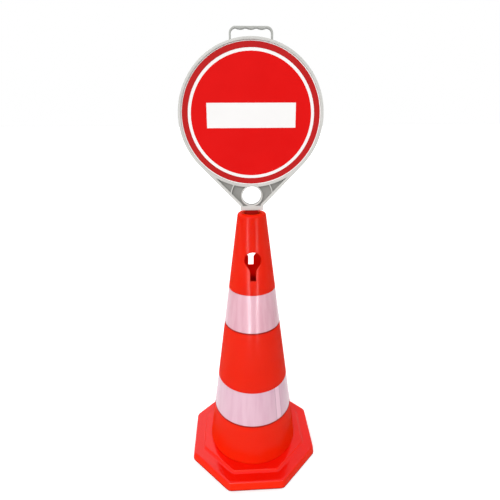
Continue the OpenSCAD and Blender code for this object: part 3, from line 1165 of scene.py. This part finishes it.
@dataclass
class Base(SubAssembly):
    """The eight-sided base with its plinth, hollow underneath."""

    width: float = 367.0
    lean: float = 2.5
    foot_z: float = 2.0
    ease: float = 1.2
    deck_h: float = 27.5
    edge_r: float = 5.0
    fillet_w: float = 1.6
    fillet_h: float = 0.45
    plinth_foot_r: float = 152.812
    plinth_slope_w: float = 3.6
    plinth_h: float = 33.5
    plinth_edge_r: float = 2.6
    corner_r: float = 20.0
    plinth_corner_r: float = 15.0
    wall: float = 4.0
    hole_low_r: float = 130.924
    hole_high_r: float = 130.412
    flange_room_r: float = 141.924
    hollow_z: float = 23.0
    sides: int = 8
    corner_share: float = 0.42
    corner_points: int = 14
    flat_points: int = 10
    edge_steps: int = 8
    crease: float = 32.0

    def ring_angles(self) -> list[float]:
        """Spaces the points of a ring, close together at the corners.

        Returns:
            The angle of each point, in radians.
        """
        half = math.pi / self.sides
        near = half * self.corner_share
        angles = []
        for k in range(self.sides):
            corner = half + 2 * half * k
            for i in range(self.corner_points):
                angles.append(corner + near * (2 * i / self.corner_points - 1))
            for i in range(self.flat_points):
                angles.append(corner + near + 2 * (half - near) * i / self.flat_points)
        return angles

    def octagon_r(self, angle: float, width: float, corner_r: float) -> float:
        """Measures from the axis to an eight-sided outline with round corners.

        Args:
            angle: Direction, in radians.
            width: Width across the flats.
            corner_r: Radius of the corners.

        Returns:
            The distance in that direction.
        """
        half = math.pi / self.sides
        off = (angle % (2 * half)) - half
        centre = (width / 2 - corner_r) / math.cos(half)
        reach = math.atan2(corner_r * math.sin(half), centre + corner_r * math.cos(half))
        if abs(off) < reach:
            return centre * math.cos(off) + math.sqrt(corner_r**2 - (centre * math.sin(off)) ** 2)
        return width / 2 / math.cos(half - abs(off))

    def rounded_edge(self, width: float, corner_r: float, top: float, radius: float) -> list[Level]:
        """Lists the rings of a rounded upper edge.

        Args:
            width: Width below the edge.
            corner_r: Corner radius there.
            top: Height of the edge's top.
            radius: Radius of the rounding.

        Returns:
            The rings, upwards.
        """
        rings = []
        for reach, rise in arc((0, 0), radius, 0, 90, self.edge_steps):
            off = radius - reach
            rings.append((width - 2 * off, corner_r - off, top - radius + rise))
        return rings

    def levels(self) -> list[Level]:
        """Lists the rings of the base, up the outside and down the inside.

        Returns:
            The rings; a corner radius of 0 makes one round.
        """
        deck_w, deck_corner_r = self.width - 2 * self.lean, self.corner_r - self.lean
        plinth_r = self.plinth_foot_r - self.plinth_slope_w
        foot_corner_r = self.plinth_corner_r + self.plinth_slope_w
        fillet_r = self.plinth_foot_r + self.fillet_w
        inner_corner_r = deck_corner_r - self.edge_r
        pocket_w, pocket_corner_r = deck_w - 2 * self.wall, deck_corner_r - self.wall
        flange_top = self.plinth_h - self.wall
        return [
            (self.width - 2 * self.ease, self.corner_r - self.ease, self.foot_z),
            (self.width, self.corner_r, self.foot_z + self.ease),
            *self.rounded_edge(deck_w, deck_corner_r, self.deck_h, self.edge_r),
            # Close to the deck's two ends, rings that keep its shading flat
            (deck_w - 2 * (self.edge_r + self.ease), inner_corner_r, self.deck_h),
            (2 * (fillet_r + self.ease), inner_corner_r, self.deck_h),
            (2 * fillet_r, foot_corner_r + self.fillet_w, self.deck_h),
            (2 * self.plinth_foot_r, foot_corner_r, self.deck_h + self.fillet_h),
            *self.rounded_edge(2 * plinth_r, self.plinth_corner_r, self.plinth_h, self.plinth_edge_r),
            (2 * self.hole_high_r, 0, self.plinth_h),
            (2 * self.hole_low_r, 0, flange_top),
            (2 * self.flange_room_r, 0, flange_top),
            (2 * self.flange_room_r, 0, self.hollow_z),
            (pocket_w, pocket_corner_r, self.hollow_z),
            (pocket_w, pocket_corner_r, self.foot_z),
        ]

    def build(self) -> None:
        """Skins the rings into one closed moulding and seats it."""
        angles, levels = self.ring_angles(), self.levels()
        count, points, faces = len(angles), [], []
        for j, (width, corner_r, z) in enumerate(levels):
            for angle in angles:
                r = self.octagon_r(angle, width, corner_r) if corner_r else width / 2
                points.append((r * math.cos(angle), r * math.sin(angle), z))
            faces += belt(j * count, (j + 1) % len(levels) * count, count)
        piece = from_points("base_moulding", points, faces)
        self.dress(piece, self.finishes.base)
        soften_shading(piece, self.crease)
        self.seat(piece, Body.CONE, Slot.BASE, "base_skirt")


@dataclass
class Ballast(SubAssembly):
    """The rubber ring under the base with its screws, washers and feet."""

    count: int = 8
    edge_r: float = 0.8
    screw_ring_r: float = 151.615
    foot_ring_r: float = 152.018
    head_z: float = 2.2
    head_r: float = 5.0
    head_h: float = 2.5
    head_dome: float = 0.9
    dome_steps: int = 4
    shank_r: float = 2.5
    shank_len: float = 24.0
    recess_w: float = 1.25
    recess_len: float = 5.0
    recess_depth: float = 1.25
    washer_r: float = 8.0
    washer_bore_r: float = 2.7
    washer_t: float = 1.2
    foot_r: float = 13.0
    foot_h: float = 6.0
    foot_edge: float = 1.0
    groove_w: float = 1.2
    groove_depth: float = 0.5
    groove_places: tuple[float, ...] = (0.3, 0.6)
    screw_segments: int = 32
    segments: int = 48

    def set_in_ring(self, piece: Piece, material: Material, radius: float, turn: float) -> None:
        """Sets a ring of copies of a piece.

        Args:
            piece: The piece, which becomes the ring.
            material: Its material.
            radius: Radius of the ring.
            turn: Angle of the first copy, in radians.
        """
        RING.run(piece, material, Count=self.count, Radius=radius * MM, Turn=turn)
        soften_shading(piece)

    def build_screws(self) -> Piece:
        """Makes one cross-headed screw and sets a ring of them.

        Returns:
            The screws.
        """
        low, high, dome = self.head_z, self.head_z + self.head_h, self.head_dome
        tip = high + self.shank_len
        outline = [
            (0, low),
            (self.head_r - dome, low),
            *arc((self.head_r - dome, low + dome), dome, -90, 0, self.dome_steps),
            (self.head_r, high),
            (self.shank_r, high),
            (self.shank_r, tip - self.shank_r),
            (self.shank_r / 3, tip),
            (0, tip),
        ]
        finish = self.finishes.steel
        screws = turned("ballast_screw_set", outline, finish, self.screw_segments)
        w, reach = self.recess_w / 2, self.recess_len / 2
        arms = [
            (w, w), (w, reach), (-w, reach), (-w, w), (-reach, w), (-reach, -w),
            (-w, -w), (-w, -reach), (w, -reach), (w, -w), (reach, -w), (reach, w),
        ]
        ends = (low - OVERRUN, low + self.recess_depth)
        work(screws, prism("recess", [(x, y, z) for z in ends for x, y in arms]), Way.CUT)
        self.set_in_ring(screws, finish, self.screw_ring_r, math.pi / self.count)
        return screws

    def build_washers(self) -> Piece:
        """Makes one washer with eased edges and sets a ring of them.

        Returns:
            The washers.
        """
        low = self.head_z + self.head_h
        high, ease = low + self.washer_t, self.washer_t / 5
        outline = [
            (self.washer_bore_r, low), (self.washer_r - ease, low), (self.washer_r, low + ease),
            (self.washer_r, high - ease), (self.washer_r - ease, high), (self.washer_bore_r, high),
        ]
        finish = self.finishes.steel
        washers = turned("screw_washer_set", outline, finish, self.segments)
        self.set_in_ring(washers, finish, self.screw_ring_r, math.pi / self.count)
        return washers

    def build_feet(self) -> Piece:
        """Makes one foot with grooves in its sole and sets a ring of them.

        Returns:
            The feet.
        """
        depth, half = self.groove_depth, self.groove_depth / 2
        outline = [(0, 0)]
        for share in self.groove_places:
            start = self.foot_r * share
            end = start + self.groove_w
            outline += [(start, 0), (start + half, depth), (end - half, depth), (end, 0)]
        outline += [
            (self.foot_r - self.foot_edge, 0), (self.foot_r, self.foot_edge),
            (self.foot_r, self.foot_h), (0, self.foot_h),
        ]
        finish = self.finishes.foot
        feet = turned("foot_pads", outline, finish, self.segments)
        self.set_in_ring(feet, finish, self.foot_ring_r, 0.0)
        return feet

    def build(self) -> None:
        """Builds, dresses and seats the ballast and what holds it."""
        rubber = self.finishes.ballast
        weight = self.refine("ballast_ring", "ballast_weight", rubber, self.edge_r)
        self.seat(weight, Body.CONE, Slot.BALLAST, "ballast_ring")
        self.seat(self.build_screws(), Body.CONE, Slot.STEEL, "ballast_screws")
        self.seat(self.build_washers(), Body.CONE, Slot.STEEL, "screw_washers")
        self.seat(self.build_feet(), Body.CONE, Slot.FOOT, "rubber_feet")


@dataclass
class Swivel(SubAssembly):
    """The ribbed socket under the lip, the bush that turns in it and its grip ring."""

    mouth_r: float = 23.0
    wall: float = 3.5
    foot_z: float = 664.5
    top_z: float = 744.5
    ledge_t: float = 4.0
    ledge_w: float = 3.2
    rib_t: float = 3.5
    ribs: int = 6
    rib_low_r: float = 45.344
    rib_high_r: float = 35.104
    segments: int = 96
    bush_edge_r: float = 0.5

    def build_socket(self) -> Piece:
        """Turns the tube with its ledge and joins a ring of ribs to it.

        Returns:
            The dressed socket.
        """
        inner_r, low, high = self.mouth_r, self.foot_z, self.top_z
        outer_r, ledge_r, ledge_z = inner_r + self.wall, inner_r - self.ledge_w, low + self.ledge_t
        outline = [
            (ledge_r, low), (outer_r, low), (outer_r, high),
            (inner_r, high), (inner_r, ledge_z), (ledge_r, ledge_z),
        ]
        finish = self.finishes.plug
        socket = turned("mouth_socket_tube", outline, finish, self.segments)
        middle, half = inner_r + self.wall / 2, self.rib_t / 2
        web = [(middle, low), (self.rib_low_r, low), (self.rib_high_r, high), (middle, high)]
        ribs = prism("socket_rib", [(x - inner_r, y, z) for y in (-half, half) for x, z in web])
        RING.run(ribs, finish, Count=self.ribs, Radius=inner_r * MM, Turn=0.0)
        work(socket, ribs, Way.JOIN)
        self.dress(socket, finish)
        soften_shading(socket)
        return socket

    def build(self) -> None:
        """Builds, dresses and seats the socket, the bush and the grip ring."""
        self.seat(self.build_socket(), Body.CONE, Slot.PLUG, "mouth_socket")
        plastic = self.finishes.plug
        bush = self.refine("swivel_bush", "swivel_bush_moulding", plastic, self.bush_edge_r)
        self.seat(bush, Body.TURNTABLE, Slot.PLUG, "swivel_bush")
        self.dress_node("grip_ring", self.finishes.grip)


@dataclass
class SignFrame(SubAssembly):
    """The grey moulding with rim, web, neck and tongue, and the carry handle on top."""

    edge_r: float = 0.9
    handle_edge_r: float = 1.6
    handle_steps: int = 3

    def build(self) -> None:
        """Softens the edges of the frame and the handle, dresses and seats them."""
        grey = self.finishes.grey
        moulding = self.refine("sign_frame", "sign_frame_moulding", grey, self.edge_r)
        self.seat(moulding, Body.SIGN, Slot.FRAME, "sign_frame")
        handle = self.refine(
            "carry_handle", "carry_handle_moulding", self.finishes.handle,
            self.handle_edge_r, self.handle_steps,
        )
        self.seat(handle, Body.SIGN, Slot.FRAME, "carry_handle")


@dataclass
class SignFace(SubAssembly):
    """One face of the sign: board, white sheet, border film and field film."""

    side: Side

    def build(self) -> None:
        """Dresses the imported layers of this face."""
        layers = {
            "board": self.finishes.board,
            "white_sheet": self.finishes.white,
            "border_film": self.finishes.border,
            "field_film": self.finishes.field,
        }
        for layer, material in layers.items():
            self.dress_node(f"{self.side.value}_{layer}", material)


# Studio


@dataclass(frozen=True)
class Sun:
    """A soft distant lamp, by its place in metres and its strength."""

    name: str
    place: Place
    strength: float
    in_gloss: bool = True


@dataclass(frozen=True)
class Strip:
    """A slanted strip light, by its foot's and head's angles from the front, its power and its width."""

    name: str
    foot: float
    head: float
    power: float
    width: float


@dataclass
class Studio:
    """The pale floor, the soft light and the camera; lengths are metres and angles degrees."""

    ambient: float = 0.56
    floor_white: float = 0.95
    floor_lift: float = 0.31
    floor_bounce: float = 0.5
    floor_roughness: float = 0.9
    floor_size: float = 60.0
    floor_level: Span = (0.995, 1.0)
    floor_grain: Mottle = Mottle(3.0, 2.0, (0.3, 0.7))
    target: Place = (0.0, 0.0, 0.6)
    sun_spread: float = 50.0
    suns: tuple[Sun, ...] = (
        Sun("key", (-0.75, -2.1, 1.75), 2.2),
        Sun("back_fill", (-1.15, 1.75, 2.4), 0.6),
        Sun("side_fill", (1.6, 1.4, 2.4), 0.55, False),
    )
    strip_ring_r: float = 1.3
    strip_low: float = 0.28
    strip_high: float = 0.62
    strip_height: float = 0.46
    strip_len: float = 1.1
    strips: tuple[Strip, ...] = (
        Strip("left_strip", -19.0, -31.0, 9.5, 0.19),
        Strip("right_strip", 22.0, 32.0, 6.5, 0.09),
    )
    camera_distance: float = 0.9875
    camera_height: float = 1.0098
    camera_azimuth: float = -3.07
    camera_tilt: float = 15.0
    camera_roll: float = -0.25
    sensor_mm: float = 36.0
    focal_pixels: float = 374.52
    frame_pixels: float = 500.0
    centre_pixel: Point = (251.74, 214.01)

    def background_rays(self, tree: NodeTree) -> Socket:
        """Tells which rays look at the background.

        Args:
            tree: The tree that asks.

        Returns:
            1 for rays from the camera or by way of gloss or glass, and 0 for the others.
        """
        path = tree.add("ShaderNodeLightPath").outputs
        seen = tree.maths("MAXIMUM", path["Is Camera Ray"], path["Is Glossy Ray"])
        return tree.maths("MAXIMUM", seen, path["Is Transmission Ray"])

    def build_world(self) -> None:
        """Makes a world that looks white and lights softly."""
        world = bpy.data.worlds.new("soft_white")
        world.use_nodes = True
        bpy.context.scene.world = world
        sky = NodeTree()
        sky.tree = world.node_tree
        back = sky.tree.nodes["Background"]
        sky.feed(back.inputs["Color"], (1, 1, 1, 1))
        spans = {"Value": self.background_rays(sky), "To Min": self.ambient, "To Max": 1.0}
        sky.feed(back.inputs["Strength"], sky.add("ShaderNodeMapRange", spans).outputs[0])

    def build_floor(self) -> None:
        """Lays the floor, which looks white and throws back less light than it shows."""
        half = self.floor_size / 2 / MM
        corners = [(-half, -half, 0), (half, -half, 0), (half, half, 0), (-half, half, 0)]
        floor = from_points("floor", corners, [(0, 1, 2, 3)])
        shade = Shading("pale_floor")
        share = self.background_rays(shade)
        shown = shade.between(share, 0.0, 1.0, self.floor_bounce, self.floor_white)
        grain = shade.mottle(self.floor_grain, *self.floor_level)
        level = shade.maths("MULTIPLY", grain, shown)
        grey = shade.add("ShaderNodeCombineColor", {0: level, 1: level, 2: level}).outputs[0]
        shade.set(Base_Color=grey, Roughness=self.floor_roughness, Specular_IOR_Level=0.0)
        lift = shade.maths("MULTIPLY", share, self.floor_lift)
        shade.set(Emission_Color=(1, 1, 1, 1), Emission_Strength=lift)
        floor.data.materials.append(shade.material)

    def lamp(self, kind: str, name: str, place: Vector, up: Vector, **settings: Any) -> Piece:
        """Hangs a lamp that points at the target.

        Args:
            kind: The lamp's type.
            name: Its name.
            place: Where it hangs.
            up: The way that its long side runs.
            settings: The lamp's own settings.

        Returns:
            The lamp.
        """
        data = bpy.data.lights.new(name, kind)
        for key, value in settings.items():
            setattr(data, key, value)
        lamp = link(name, data)
        back = (place - Vector(self.target)).normalized()
        across = up.cross(back).normalized()
        turn = Matrix((across, back.cross(across), back)).transposed()
        lamp.matrix_world = Matrix.Translation(place) @ turn.to_4x4()
        lamp.visible_camera = False
        return lamp

    def build_lamps(self) -> None:
        """Hangs the suns, and the strips that draw the upright highlights on the cone."""
        up, spread = Vector((0, 0, 1)), math.radians(self.sun_spread)
        for sun in self.suns:
            lamp = self.lamp(
                "SUN", sun.name, Vector(sun.place), up, energy=sun.strength, angle=spread
            )
            lamp.visible_glossy = sun.in_gloss
        for strip in self.strips:
            foot = from_front(strip.foot, self.strip_ring_r, self.strip_low)
            head = from_front(strip.head, self.strip_ring_r, self.strip_high)
            along = (head - foot).normalized()
            place = head + along * ((self.strip_height - self.strip_high) / along.z)
            lamp = self.lamp(
                "AREA", strip.name, place, along, energy=strip.power, shape="RECTANGLE",
                size=strip.width, size_y=self.strip_len,
            )
            lamp.visible_diffuse = False

    def build_camera(self) -> None:
        """Sets the camera as the photograph's was fitted."""
        data = bpy.data.cameras.new("camera")
        data.sensor_width = self.sensor_mm
        data.lens = self.focal_pixels / self.frame_pixels * self.sensor_mm
        data.shift_x = 0.5 - self.centre_pixel[0] / self.frame_pixels
        data.shift_y = self.centre_pixel[1] / self.frame_pixels - 0.5
        camera = link("camera", data)
        place = from_front(self.camera_azimuth, self.camera_distance, self.camera_height)
        camera.matrix_world = Matrix.Translation(place)
        turns = (("Z", self.camera_azimuth), ("X", 90 - self.camera_tilt), ("Z", self.camera_roll))
        for axis, angle in turns:
            camera.matrix_world @= Matrix.Rotation(math.radians(angle), 4, axis)
        bpy.context.scene.camera = camera

    def build(self) -> None:
        """Sets up the whole studio."""
        bpy.context.scene.view_settings.view_transform = "Standard"
        self.build_world()
        self.build_floor()
        self.build_lamps()
        self.build_camera()


def main() -> None:
    """Builds the studio and the object's sub-assemblies in order."""
    logging.basicConfig(level=logging.INFO, format="%(name)s: %(message)s")
    Studio().build()
    finishes = Finishes()
    kinds = (ConeBody, Base, Ballast, Swivel, SignFrame)
    parts: list[SubAssembly] = [kind(finishes) for kind in kinds]
    parts += [SignFace(finishes, side) for side in Side]
    for part in parts:
        part.build()
        LOG.info("%s built", type(part).__name__)


if __name__ == "__main__":
    main()
